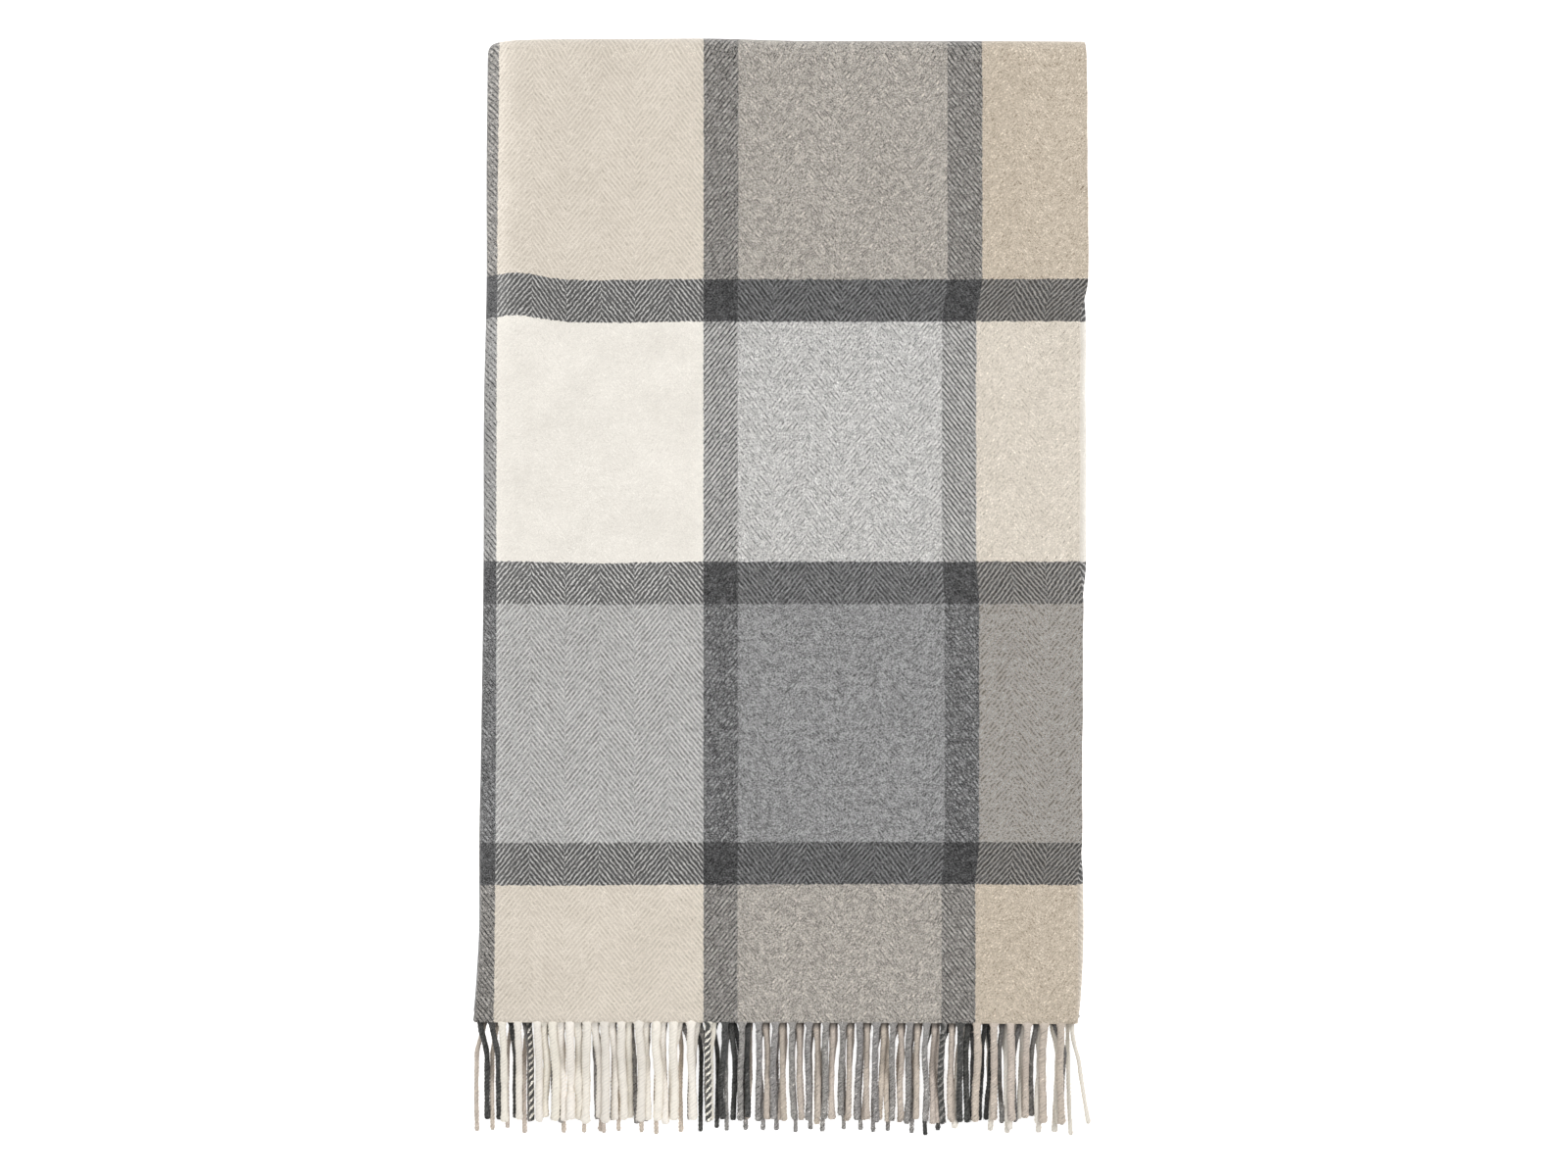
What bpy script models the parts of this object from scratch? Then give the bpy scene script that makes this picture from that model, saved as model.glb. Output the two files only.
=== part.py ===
"""Folded wool throw: one herringbone cloth, folded in half twice lengthwise and in thirds across.

The folded throw lies on the XY plane. +Y runs from the fringe to the top fold, +X from the soft double fold
to the selvedges, +Z up. The origin is under the middle of it. Lengthwise folding gives four leaves, numbered
from the face that shows: leaf 1 and leaf 4 join round the outer left fold, leaf 2 and leaf 3 round the inner
left fold, and leaf 3 and leaf 4 round the right fold. Crosswise folding gives three panels: back on the floor,
tucked in the middle, front on top. The front panel opens about the top fold.
"""

import math

import bmesh
import bpy

# Driving dimensions, in metres.
COLUMN = 0.020  # width of one herringbone column
CLOTH = 0.0017  # thickness of the cloth
AIR = 0.0004  # air between neighbouring layers
LENGTH = 0.632  # folded, from the longest tassel to the top fold
BODY_LENGTH = 0.568  # folded, without the fringe
HEADER_BEHIND = 0.002  # how far the bottom fold stays behind the front end's header
TUCKED_SHORT = 0.061  # how far the tucked end's header stays short of the top fold's centre
TASSELS_SHORT = (0.008, 0.005, 0.002, 0.0)  # how far the front end's tassels stop short, leaf 1 to leaf 4
TUCKED_TASSEL = 0.058
TASSELS_PER_COLUMN = 2
TASSEL_ROOT = 0.0030
TASSEL_TIP = 0.0036
HEADER = 0.0015  # depth of the strip that the tassels hang from
GAP = 0.0003  # between pieces that meet end to end
LEAVES = 4
ARC_STEPS = 10  # facets round each half-turn fold

# The warp's colours across one leaf, in columns counted from the left fold.
STRIPE_HALF, PANEL_COLUMNS, STRIPE, HALF_PANEL = 0.5, 6, 1, 3
WARP = {
    1: ("cream", "grey", "beige"),
    2: ("cream", "beige", "grey"),
    3: ("grey", "beige", "cream"),
    4: ("beige", "grey", "cream"),
}

COLOURS = {
    "cloth": (0.50, 0.47, 0.42, 1),
    "fold": (0.13, 0.13, 0.13, 1),
    "cream": (0.78, 0.72, 0.62, 1),
    "grey": (0.24, 0.24, 0.24, 1),
    "beige": (0.52, 0.44, 0.36, 1),
    "charcoal": (0.055, 0.055, 0.06, 1),
}

# Worked out from those.
PITCH = CLOTH + AIR
PANEL = LEAVES * PITCH
LEAF_COLUMNS = STRIPE_HALF + 2 * (PANEL_COLUMNS + STRIPE) + HALF_PANEL
WIDTH = LEAF_COLUMNS * COLUMN
X_LEFT, X_RIGHT = -WIDTH / 2, WIDTH / 2
OUTER_FOLD_RADIUS = (3 * PITCH + CLOTH) / 2
INNER_FOLD_RADIUS = (PITCH + CLOTH) / 2
X_LEFT_FOLD = X_LEFT + OUTER_FOLD_RADIUS
X_RIGHT_FOLD = X_RIGHT - INNER_FOLD_RADIUS
X_SELVEDGE = {1: X_RIGHT - 0.003, 2: X_RIGHT - 0.0045}
Y_TOP = LENGTH / 2
TOP_FOLD_RADIUS = (11 * PITCH + CLOTH) / 2
BOTTOM_FOLD_RADIUS = (7 * PITCH + CLOTH) / 2
Y_TOP_FOLD = Y_TOP - TOP_FOLD_RADIUS
Y_HEADER = Y_TOP - BODY_LENGTH
Y_BOTTOM_FOLD = Y_HEADER + HEADER_BEHIND + BOTTOM_FOLD_RADIUS
Y_TUCKED_HEADER = Y_TOP_FOLD - TUCKED_SHORT


def leaf_z(panel, leaf):
    """The underside of one leaf. The back panel has leaf 1 on the floor, the other two have it on top."""
    if panel == "back":
        return (leaf - 1) * PITCH
    base = PANEL if panel == "tucked" else 2 * PANEL
    return base + (LEAVES - leaf) * PITCH


def panel_ends(panel):
    """Where a panel's flat run starts and ends along Y."""
    if panel == "front":
        return Y_HEADER, Y_TOP_FOLD
    if panel == "tucked":
        return Y_BOTTOM_FOLD, Y_TUCKED_HEADER
    return Y_BOTTOM_FOLD, Y_TOP_FOLD


def leaf_right(leaf):
    """Leaves 1 and 2 end at a selvedge, leaves 3 and 4 at the right fold."""
    return X_SELVEDGE.get(leaf, X_RIGHT_FOLD - GAP)


def clear_scene():
    for thing in list(bpy.data.objects):
        bpy.data.objects.remove(thing, do_unlink=True)


def make_collection(name):
    collection = bpy.data.collections.new(name)
    bpy.context.scene.collection.children.link(collection)
    return collection


def woollen(name, colour):
    """A dull woollen finish for one sub-part."""
    material = bpy.data.materials.new(name)
    material.use_nodes = True
    shader = material.node_tree.nodes["Principled BSDF"]
    shader.inputs["Base Color"].default_value = colour
    shader.inputs["Roughness"].default_value = 0.9
    shader.inputs["Metallic"].default_value = 0.0
    return material


def add_object(name, data, colour, holder, collection):
    thing = bpy.data.objects.new(name, data)
    data.materials.append(woollen(name, COLOURS[colour]))
    collection.objects.link(thing)
    thing.parent = holder
    return thing


def slab(name, low, high, colour, holder, collection):
    """A flat run of cloth between two corners, with its long edges eased."""
    mesh = bpy.data.meshes.new(name)
    form = bmesh.new()
    bmesh.ops.create_cube(form, size=1.0)
    size = [b - a for a, b in zip(low, high)]
    middle = [(a + b) / 2 for a, b in zip(low, high)]
    bmesh.ops.scale(form, vec=size, verts=form.verts)
    form.to_mesh(mesh)
    form.free()
    thing = add_object(name, mesh, colour, holder, collection)
    thing.location = [m - o for m, o in zip(middle, holder.location)]
    ease = thing.modifiers.new("eased_edges", "BEVEL")
    ease.width = CLOTH / 4
    ease.segments = 1
    return thing


def outline(name, points, depth, centre, turn, colour, holder, collection):
    """A flat outline filled and extruded by half its depth to each side."""
    curve = bpy.data.curves.new(name, "CURVE")
    curve.dimensions = "2D"
    curve.fill_mode = "BOTH"
    curve.extrude = depth / 2
    spline = curve.splines.new("POLY")
    spline.points.add(len(points) - 1)
    for point, (x, y) in zip(spline.points, points):
        point.co = (x, y, 0, 1)
    spline.use_cyclic_u = True
    thing = add_object(name, curve, colour, holder, collection)
    thing.location = [c - o for c, o in zip(centre, holder.location)]
    thing.rotation_euler = turn
    return thing


def half_ring(radius, side):
    """The section of a folded layer: a half ring of cloth, opening away from side."""
    angles = [math.pi * (i / ARC_STEPS - 0.5) for i in range(ARC_STEPS + 1)]
    outer = [(side * radius * math.cos(a), radius * math.sin(a)) for a in angles]
    inner_radius = radius - CLOTH
    inner = [(side * inner_radius * math.cos(a), inner_radius * math.sin(a)) for a in reversed(angles)]
    return outer + inner


def lengthwise_fold(name, panel, leaves, x, radius, side, holder, collection):
    """A fold that runs along Y and joins two leaves of one panel."""
    near, far = panel_ends(panel)
    z = sum(leaf_z(panel, leaf) for leaf in leaves) / 2 + CLOTH / 2
    centre = (x, (near + far) / 2, z)
    turn = (math.pi / 2, 0, 0)
    colour = "fold" if side < 0 else "cloth"
    return outline(name, half_ring(radius, side), far - near - 2 * GAP, centre, turn, colour, holder, collection)


def crosswise_fold(name, panels, leaf, y, side, holder, collection):
    """One layer of a fold that runs along X and joins the same leaf of two panels."""
    low = min(leaf_z(panel, leaf) for panel in panels)
    high = max(leaf_z(panel, leaf) for panel in panels) + CLOTH
    right = X_RIGHT if leaf > 2 else X_SELVEDGE[leaf]
    centre = ((X_LEFT + right) / 2, y, (low + high) / 2)
    turn = (math.pi / 2, 0, math.pi / 2)
    return outline(
        name, half_ring((high - low) / 2, side), right - X_LEFT, centre, turn, "cloth", holder, collection
    )


def comb(name, panel, leaf, columns, tassel_length, way, colour, holder, collection):
    """A header strip with straight tassels, over a run of herringbone columns."""
    header_y = panel_ends(panel)[0] if way < 0 else panel_ends(panel)[1]
    left = max(X_LEFT + columns[0] * COLUMN, X_LEFT_FOLD) + GAP
    right = min(X_LEFT + columns[1] * COLUMN, leaf_right(leaf)) - GAP
    count = max(1, round((right - left) / COLUMN * TASSELS_PER_COLUMN))
    step = (right - left) / count
    middle = (left + right) / 2
    points = [(left - middle, 0), (right - middle, 0), (right - middle, HEADER)]
    for i in reversed(range(count)):
        x = left + (i + 0.5) * step - middle
        points += [(x + TASSEL_ROOT / 2, HEADER), (x + TASSEL_TIP / 2, tassel_length)]
        points += [(x - TASSEL_TIP / 2, tassel_length), (x - TASSEL_ROOT / 2, HEADER)]
    points.append((left - middle, HEADER))
    points = [(x, way * y) for x, y in points]
    centre = (middle, header_y + way * GAP, leaf_z(panel, leaf) + CLOTH / 2)
    return outline(name, points, CLOTH, centre, (0, 0, 0), colour, holder, collection)


def colour_runs(leaf):
    """Every run of one warp colour across a leaf: its first and last column, and the colour."""
    runs, at = [(0, STRIPE_HALF, "charcoal")], STRIPE_HALF
    for i, colour in enumerate(WARP[leaf]):
        width = PANEL_COLUMNS if i < 2 else HALF_PANEL
        runs.append((at, at + width, colour))
        at += width
        if i < 2:
            runs.append((at, at + STRIPE, "charcoal"))
            at += STRIPE
    return runs


def panel_runs(leaf):
    """The same, with each stripe's tassels kept on the comb of the panel to its right."""
    runs = colour_runs(leaf)
    return [(runs[i][0], runs[i + 1][1], runs[i + 1][2]) for i in range(0, len(runs), 2)]


def make_panel(panel, holder, collection):
    """The four leaves of a panel and the three folds that join them."""
    near, far = panel_ends(panel)
    for leaf in range(1, LEAVES + 1):
        z = leaf_z(panel, leaf)
        low = (X_LEFT_FOLD + GAP, near + GAP, z)
        high = (leaf_right(leaf), far - GAP, z + CLOTH)
        slab(f"{panel}_leaf_{leaf}", low, high, "cloth", holder, collection)
    lengthwise_fold(
        f"{panel}_outer_left_fold", panel, (1, 4), X_LEFT_FOLD, OUTER_FOLD_RADIUS, -1, holder, collection
    )
    lengthwise_fold(
        f"{panel}_inner_left_fold", panel, (2, 3), X_LEFT_FOLD, INNER_FOLD_RADIUS, -1, holder, collection
    )
    lengthwise_fold(f"{panel}_right_fold", panel, (3, 4), X_RIGHT_FOLD, INNER_FOLD_RADIUS, 1, holder, collection)


def make_front_fringe(holder, collection):
    """The fringe that hangs out: leaf 1 by colour, the leaves behind it by panel."""
    longest = LENGTH - BODY_LENGTH - GAP
    for leaf, short in zip(range(1, LEAVES + 1), TASSELS_SHORT):
        runs = colour_runs(leaf) if leaf == 1 else panel_runs(leaf)
        for i, (start, end, colour) in enumerate(runs):
            name = f"front_fringe_{leaf}_{'abcdef'[i]}_{colour}"
            comb(name, "front", leaf, (start, end), longest - short, -1, colour, holder, collection)


def make_tucked_fringe(holder, collection):
    """The other end's fringe, inside the top fold."""
    for leaf in range(1, LEAVES + 1):
        for i, (start, end, colour) in enumerate(panel_runs(leaf)):
            name = f"tucked_fringe_{leaf}_{'abc'[i]}_{colour}"
            comb(name, "tucked", leaf, (start, end), TUCKED_TASSEL, 1, colour, holder, collection)


def make_throw():
    collection = make_collection("folded_throw")
    base = bpy.data.objects.new("folded_base", None)
    hinge = bpy.data.objects.new("front_panel_hinge", None)
    for holder in (base, hinge):
        collection.objects.link(holder)
    mean_radius = TOP_FOLD_RADIUS - PANEL / 2 + AIR / 2
    hinge.location = (0, Y_TOP_FOLD + mean_radius * math.pi / 2, TOP_FOLD_RADIUS)
    bpy.context.view_layer.update()
    for panel in ("back", "tucked"):
        make_panel(panel, base, collection)
    make_panel("front", hinge, collection)
    for leaf in range(1, LEAVES + 1):
        crosswise_fold(f"top_fold_{leaf}", ("back", "front"), leaf, Y_TOP_FOLD, 1, base, collection)
        crosswise_fold(f"bottom_fold_{leaf}", ("back", "tucked"), leaf, Y_BOTTOM_FOLD, -1, base, collection)
    make_front_fringe(hinge, collection)
    make_tucked_fringe(base, collection)


clear_scene()
make_throw()
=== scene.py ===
"""Looks for the folded wool throw: a herringbone plaid cloth, folded as the frame says, and its tassels."""

import math

import bpy
import numpy as np
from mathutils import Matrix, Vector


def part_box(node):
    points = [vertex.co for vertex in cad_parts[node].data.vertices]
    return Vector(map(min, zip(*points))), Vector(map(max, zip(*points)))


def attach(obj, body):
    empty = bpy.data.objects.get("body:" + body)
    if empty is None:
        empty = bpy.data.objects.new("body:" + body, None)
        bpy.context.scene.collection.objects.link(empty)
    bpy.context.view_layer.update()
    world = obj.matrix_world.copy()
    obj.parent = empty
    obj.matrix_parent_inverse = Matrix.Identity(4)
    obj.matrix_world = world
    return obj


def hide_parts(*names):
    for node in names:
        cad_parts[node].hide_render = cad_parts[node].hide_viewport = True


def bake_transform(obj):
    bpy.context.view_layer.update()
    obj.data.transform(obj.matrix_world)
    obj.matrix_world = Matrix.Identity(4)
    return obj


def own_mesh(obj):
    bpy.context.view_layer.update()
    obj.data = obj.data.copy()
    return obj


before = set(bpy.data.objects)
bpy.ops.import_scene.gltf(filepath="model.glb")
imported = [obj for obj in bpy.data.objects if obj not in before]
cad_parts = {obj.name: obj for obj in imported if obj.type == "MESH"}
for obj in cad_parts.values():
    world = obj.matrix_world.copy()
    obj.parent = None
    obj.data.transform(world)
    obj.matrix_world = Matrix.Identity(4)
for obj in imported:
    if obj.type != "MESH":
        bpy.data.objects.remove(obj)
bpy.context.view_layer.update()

rng = np.random.default_rng(7)

# ---------- Places and sizes, read from the frame ----------

LEAF_1_LOW, LEAF_1_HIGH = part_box("front_leaf_1")
LEAF_2_LOW, LEAF_2_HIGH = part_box("front_leaf_2")
LEFT_FOLD_LOW, LEFT_FOLD_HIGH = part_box("front_outer_left_fold")
RIGHT_FOLD_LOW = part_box("front_right_fold")[0]
TOP_FOLD_LOW, TOP_FOLD_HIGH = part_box("top_fold_1")
BOTTOM_FOLD_LOW, BOTTOM_FOLD_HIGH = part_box("bottom_fold_1")
TUCKED_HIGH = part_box("tucked_leaf_1")[1]

THICK = LEAF_1_HIGH.z - LEAF_1_LOW.z  # one layer of cloth
PITCH = LEAF_1_LOW.z - LEAF_2_LOW.z  # from one layer to the next
Z_TOP = LEAF_1_HIGH.z
X_LEFT = LEFT_FOLD_HIGH.x  # where the left folds start to turn
X_RIGHT = RIGHT_FOLD_LOW.x  # where the right fold starts to turn
X_SELVEDGE = LEAF_1_HIGH.x + 0.0014
X_INNER_SELVEDGE = LEAF_2_HIGH.x + 0.001
Y_HEADER = LEAF_1_LOW.y - 0.0003
Y_TOP = TOP_FOLD_LOW.y
Y_BOTTOM = BOTTOM_FOLD_HIGH.y
Y_TUCKED = TUCKED_HIGH.y + 0.0003
R_TOP = (TOP_FOLD_HIGH.z - TOP_FOLD_LOW.z) / 2
R_BOTTOM = (BOTTOM_FOLD_HIGH.z - BOTTOM_FOLD_LOW.z) / 2
Z_TOP_FOLD = (TOP_FOLD_HIGH.z + TOP_FOLD_LOW.z) / 2
HALF_STACK = (3 * PITCH + THICK) / 2  # from the face of a panel to its middle

FRONT_RUN = Y_TOP - Y_HEADER
TOP_TURN = math.pi * (R_TOP - HALF_STACK)
BACK_RUN = Y_TOP - Y_BOTTOM
BOTTOM_TURN = math.pi * (R_BOTTOM - HALF_STACK)
TUCKED_RUN = Y_TUCKED - Y_BOTTOM
S_TOP = FRONT_RUN
S_BACK = S_TOP + TOP_TURN
S_BOTTOM = S_BACK + BACK_RUN
S_TUCKED = S_BOTTOM + BOTTOM_TURN
S_END = S_TUCKED + TUCKED_RUN

# The weave, in metres.
COLUMN = 0.0199  # one herringbone column
WEFT_STRIPE = 0.0245
WEFT_PERIOD = 0.1625
WEFT_FIRST = 0.0797  # from the header to the first stripe
TWILL_PER_COLUMN = 7  # twill lines across a column
TWILL_RISE = 0.00354  # twill line to twill line along the warp
SEAM = 0.012  # how far past a fold one piece of cloth hands over to the next
# Where loose fibres stand out: how many, and from where to where across (q) and along (s).
FUZZ = (
    (1500, 1.0, 1.7, 0, S_BACK),  # the left fold
    (900, 0.0, 1.2, S_TOP, S_BACK),  # the top fold
    (700, 0.0, 0.004, 0, S_BACK),  # the selvedge
    (500, 0.0, 1.0, 0, 0.0015),  # the header
)

# Loose fibres: the shortest, the longest, their radius, and the lowest that they reach.
CLOTH_FIBRE = (0.0010, 0.0026, 0.00005, 0.0001)
TASSEL_FIBRE = (0.0012, 0.0032, 0.00006, 0.0002)
TASSEL_FIBRES = 44  # along each front tassel, and half as many at its tip
HAIR_POINTS = 7  # vertices in one fibre

TASSEL_PITCH = 0.00984
TASSEL_FIRST = 0.0095  # from the selvedge to the first tassel
TWIST = 0.0094  # one full turn of a tassel's four strands
# The yarns' colours (2.2 gamma) and thickness where they are twisted into tassels.
FRINGE = {
    "cream": ((0.938, 0.914, 0.870), 1.14),
    "grey": ((0.535, 0.525, 0.515), 0.86),
    "beige": ((0.768, 0.722, 0.675), 0.89),
    "charcoal": ((0.250, 0.250, 0.245), 0.88),
}

LEFT_OUTLINE = LEFT_FOLD_LOW.x - 0.0018
# Where the charcoal stripe turns round the left folds, its tassels spread. For each leaf, from the fold on:
# how far in from the folds' outline a tassel starts and ends, and how full it is.
LEFT_END = {
    1: (
        (0.0020, 0.0057, 0.95),
        (0.0093, 0.0125, 0.95),
        (0.0153, 0.0159, 0.90),
        (0.0244, 0.0246, 0.80),
        (0.0357, 0.0363, 0.90),
    ),
    2: ((0.0309, 0.0317, 0.95), (0.0244, 0.0246, 0.70)),
    3: ((0.0201, 0.0221, 1.00), (0.0278, 0.0300, 0.72), (0.0357, 0.0363, 0.80)),
    4: ((0.0051, -0.0006, 1.0), (0.0125, 0.0085, 1.0), (0.0204, 0.0173, 1.0), (0.0300, 0.0272, 1.0)),
}


def smooth(a, b, x):
    t = np.clip((x - a) / (b - a), 0, 1)
    return t * t * (3 - 2 * t)


def unit(ways):
    return ways / np.maximum(np.linalg.norm(ways, axis=-1, keepdims=True), 1e-12)


# ---------- How the cloth is folded ----------


def down(y):
    """How far down from the top fold, from 0 to 1 at the header."""
    return (Y_TOP - y) / (Y_TOP - Y_HEADER)


def left_line(y):
    """Where the left folds start to turn. The fold drifts to the left towards the fringe."""
    t = down(y)
    line = X_LEFT + 0.0053 - 0.0064 * t - 0.0020 * t**4 + 0.0003 * np.sin(14.0 * t + 0.6)
    line = line + 0.0014 * np.exp(-(((t - 0.24) / 0.10) ** 2))
    line = line + 0.0012 * np.exp(-(((t - 0.90) / 0.06) ** 2))
    return line - 0.0013 * np.exp(-np.abs(1 - t) / 0.02)


# The middles of the charcoal weft bands on the front panel, and half their width.
BANDS = (Y_HEADER + 0.0925, Y_HEADER + 0.2550, Y_HEADER + 0.4185)
HALF_BAND = 0.013


def by_band(y, lowest, *changes):
    """A value that changes at each charcoal weft band, because each weft pulls the width in its own way."""
    for middle, change in zip(BANDS, changes):
        lowest = lowest + change * smooth(middle - HALF_BAND, middle + HALF_BAND, y)
    return lowest


def selvedge_drift(y):
    return by_band(y, -0.0020, 0.0029, -0.0024, 0.0049) + 0.0002 * np.sin(150 * y) * np.sin(61 * y)


def right_fold_drift(y):
    """The right fold peeks out past the selvedge, except close to the fringe."""
    peek = by_band(y, 0.0012, -0.0017, 0.0019, -0.0010) + 0.0002 * np.sin(90 * y + 1)
    return peek - 0.0030 * np.exp(-np.abs(y - Y_HEADER) / 0.018)


STRIPE_EDGE = 11 * COLUMN  # from the selvedge to the far side of the second stripe
X_STRIPE = X_SELVEDGE - STRIPE_EDGE * 0.997  # a little narrower than its columns, drawn in
X_BEIGE = X_STRIPE + 7.9 * COLUMN  # where the top leaf's beige tassels start
INNER_FOLD_IN = 0.0105  # the inner left fold lies this much further in than the outer one
RECESS = 0.0019  # how far the hidden layers' ends stay behind the first one's


def across(q, y):
    """A point across the cloth. q counts leaves and folds: 0..1 leaf 1, 1..2 outer left fold, 2..3 leaf 4,
    3..4 right fold, 4..5 leaf 3, 5..6 inner left fold, 6..7 leaf 2. Returns x, the depth of the cloth's
    middle below the panel's face, and the width of cloth used so far."""
    d1, d2, d3, d4 = [k * PITCH + THICK / 2 for k in range(4)]
    outer, inner = 1.5 * PITCH, 0.5 * PITCH
    left = left_line(y)
    edge = X_SELVEDGE + selvedge_drift(y)
    inner_edge = X_INNER_SELVEDGE + 0.4 * selvedge_drift(y)
    right = X_RIGHT + right_fold_drift(y)
    stretch = (edge - X_STRIPE) / STRIPE_EDGE  # the selvedge side is pulled wider or narrower
    stretch_left = 0.987 + 0.033 * down(y)  # the other side grows wider towards the fringe
    left_in = left + INNER_FOLD_IN
    length_1 = STRIPE_EDGE + (X_STRIPE - left) / stretch_left
    u2 = length_1 + math.pi * outer
    u3 = u2 + right - left
    u4 = u3 + math.pi * inner
    u5 = u4 + right - left_in
    u6 = u5 + math.pi * inner
    t = q - np.floor(q)
    turn = math.pi * t
    part = np.minimum(np.floor(q), 6).astype(int)
    t = np.where(q >= 7, 1.0, t)
    gone = t * (edge - left)
    past_stripe = STRIPE_EDGE + (gone - (edge - X_STRIPE)) / stretch_left
    used_1 = np.where(gone < edge - X_STRIPE, gone / stretch, past_stripe)
    out, rise = np.sin(turn), 1 - np.cos(turn)
    level = 0 * t
    # For each leaf and fold in turn: x, the depth, and the width used.
    parts = (
        (edge + (left - edge) * t, d1 + level, used_1),
        (left - outer * out, d1 + outer * rise, length_1 + outer * turn),
        (left + (right - left) * t, d4 + level, u2 + (right - left) * t),
        (right + inner * out, d4 - inner * rise, u3 + inner * turn),
        (right + (left_in - right) * t, d3 + level, u4 + (right - left_in) * t),
        (left_in - inner * out, d3 - inner * rise, u5 + inner * turn),
        (left_in + (inner_edge - left_in) * t, d2 + level, u6 + (inner_edge - left_in) * t),
    )
    choices = [part == k for k in range(7)]
    return tuple(np.select(choices, values) for values in zip(*parts))


def along(s):
    """The y of the panel's middle at length s, which across() needs."""
    turn_1 = np.clip((s - S_TOP) / TOP_TURN, 0, 1) * math.pi
    turn_2 = np.clip((s - S_BOTTOM) / BOTTOM_TURN, 0, 1) * math.pi
    y = Y_HEADER + np.minimum(s, S_TOP)
    y = y + (R_TOP - HALF_STACK) * np.sin(turn_1)
    y = y - np.clip(s - S_BACK, 0, BACK_RUN)
    y = y - (R_BOTTOM - HALF_STACK) * np.sin(turn_2)
    return y + np.maximum(s - S_TUCKED, 0)


def fold_point(s, depth):
    """y and z of cloth at length s and that depth below the panel's face."""
    y_mid = along(s)
    turn_1 = (s - S_TOP) / TOP_TURN * math.pi
    turn_2 = (s - S_BOTTOM) / BOTTOM_TURN * math.pi
    where = [s <= S_TOP, s < S_BACK, s <= S_BOTTOM, s < S_TUCKED, s >= S_TUCKED]
    straight = y_mid + 0 * depth
    top, bottom = R_TOP - depth, R_BOTTOM - depth
    # For each panel and fold in turn: y and z.
    parts = (
        (straight, Z_TOP - depth),
        (Y_TOP + top * np.sin(turn_1), Z_TOP_FOLD + top * np.cos(turn_1)),
        (straight, depth + 0 * s),
        (Y_BOTTOM - bottom * np.sin(turn_2), R_BOTTOM - bottom * np.cos(turn_2)),
        (straight, 2 * R_BOTTOM - depth),
    )
    return tuple(np.select(where, values) for values in zip(*parts))


def swell(x, y, z):
    """The unevenness of a hand-folded stack: one smooth change of the space that the layers lie in, so that
    they move together and never meet."""
    near_left = np.exp(-np.maximum(x - X_LEFT + 0.004, 0) / 0.020)
    near_right = np.exp(-np.maximum(X_RIGHT + 0.004 - x, 0) / 0.014)
    wave = np.sin(17 * x + 5.1 * y + 0.4) * np.sin(11 * y - 6 * x + 1.3)
    ripple = np.sin(61 * x + 13 * y) * np.sin(37 * y + 2.0)
    lift = 1 + 0.035 * wave + 0.010 * ripple - 0.13 * near_left - 0.05 * near_right
    level = z / Z_TOP
    sway = 0.0011 * np.sin(2.6 * level + 9 * y + 0.5) * near_left
    sway = sway + 0.0008 * np.sin(3.1 * level - 12 * y) * near_right
    lean = 0.0009 * np.sin(2.2 * level + 8 * x) * smooth(0.20, 0.30, np.abs(y - 0.03))
    top = smooth(0.24, 0.312, y)
    corner = 0.0036 * np.exp(-np.maximum(x - X_LEFT - 0.002, 0) / 0.0065)
    crest = top * (0.0006 + 0.0016 * smooth(0.02, -0.05, x) - corner)
    return x + sway, y + lean + crest, z * lift


def cloth_point(q, s):
    """The middle of the cloth at q across and s along, and the weave's own coordinates there: how far
    across, how far along, and how close to the outer left fold, where the nap is raised and a highlight is
    painted."""
    q, s = np.broadcast_arrays(np.asarray(q, float), np.asarray(s, float))
    y_mid = along(s)
    x, depth, used = across(q, y_mid)
    y, z = fold_point(s, depth)
    y = y + RECESS * smooth(1.3, 2.0, q) * np.exp(-s / 0.05)
    at_fold = np.exp(-((np.maximum(x - left_line(y_mid), 0) / 0.010) ** 2)) * (q < 3)
    x, y, z = swell(x, y, z)
    return np.stack([x, y, z], -1), np.stack([used, s + weft_bow(x, y), at_fold], -1)


def weft_bow(x, y):
    """The weft doesn't lie quite straight: it bows near the left fold and wanders a little everywhere."""
    bow = -0.0034 * np.exp(-(((x + 0.153) / 0.017) ** 2)) * np.exp(-(((y - 0.170) / 0.08) ** 2))
    bow = bow + 0.0011 * np.exp(-(((x + 0.105) / 0.035) ** 2)) * smooth(-0.06, 0.02, y)
    return bow - 0.0010 * smooth(0.03, 0.16, y) + 0.0004 * np.sin(14 * x + 1.0) * np.sin(9 * y + 0.3)


# ---------- Meshes ----------


def new_object(name, vertices, faces):
    mesh = bpy.data.meshes.new(name)
    mesh.from_pydata(vertices.tolist() if hasattr(vertices, "tolist") else vertices, [], faces)
    mesh.validate()
    mesh.update()
    thing = bpy.data.objects.new(name, mesh)
    bpy.context.scene.collection.objects.link(thing)
    mesh.shade_smooth()
    return thing


def set_vectors(mesh, name, values):
    layer = mesh.attributes.new(name, "FLOAT_VECTOR", "POINT")
    layer.data.foreach_set("vector", np.asarray(values, np.float32).ravel())


def surface_normals(points):
    du = np.gradient(points, axis=1)
    dv = np.gradient(points, axis=0)
    return unit(np.cross(du, dv))


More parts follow.
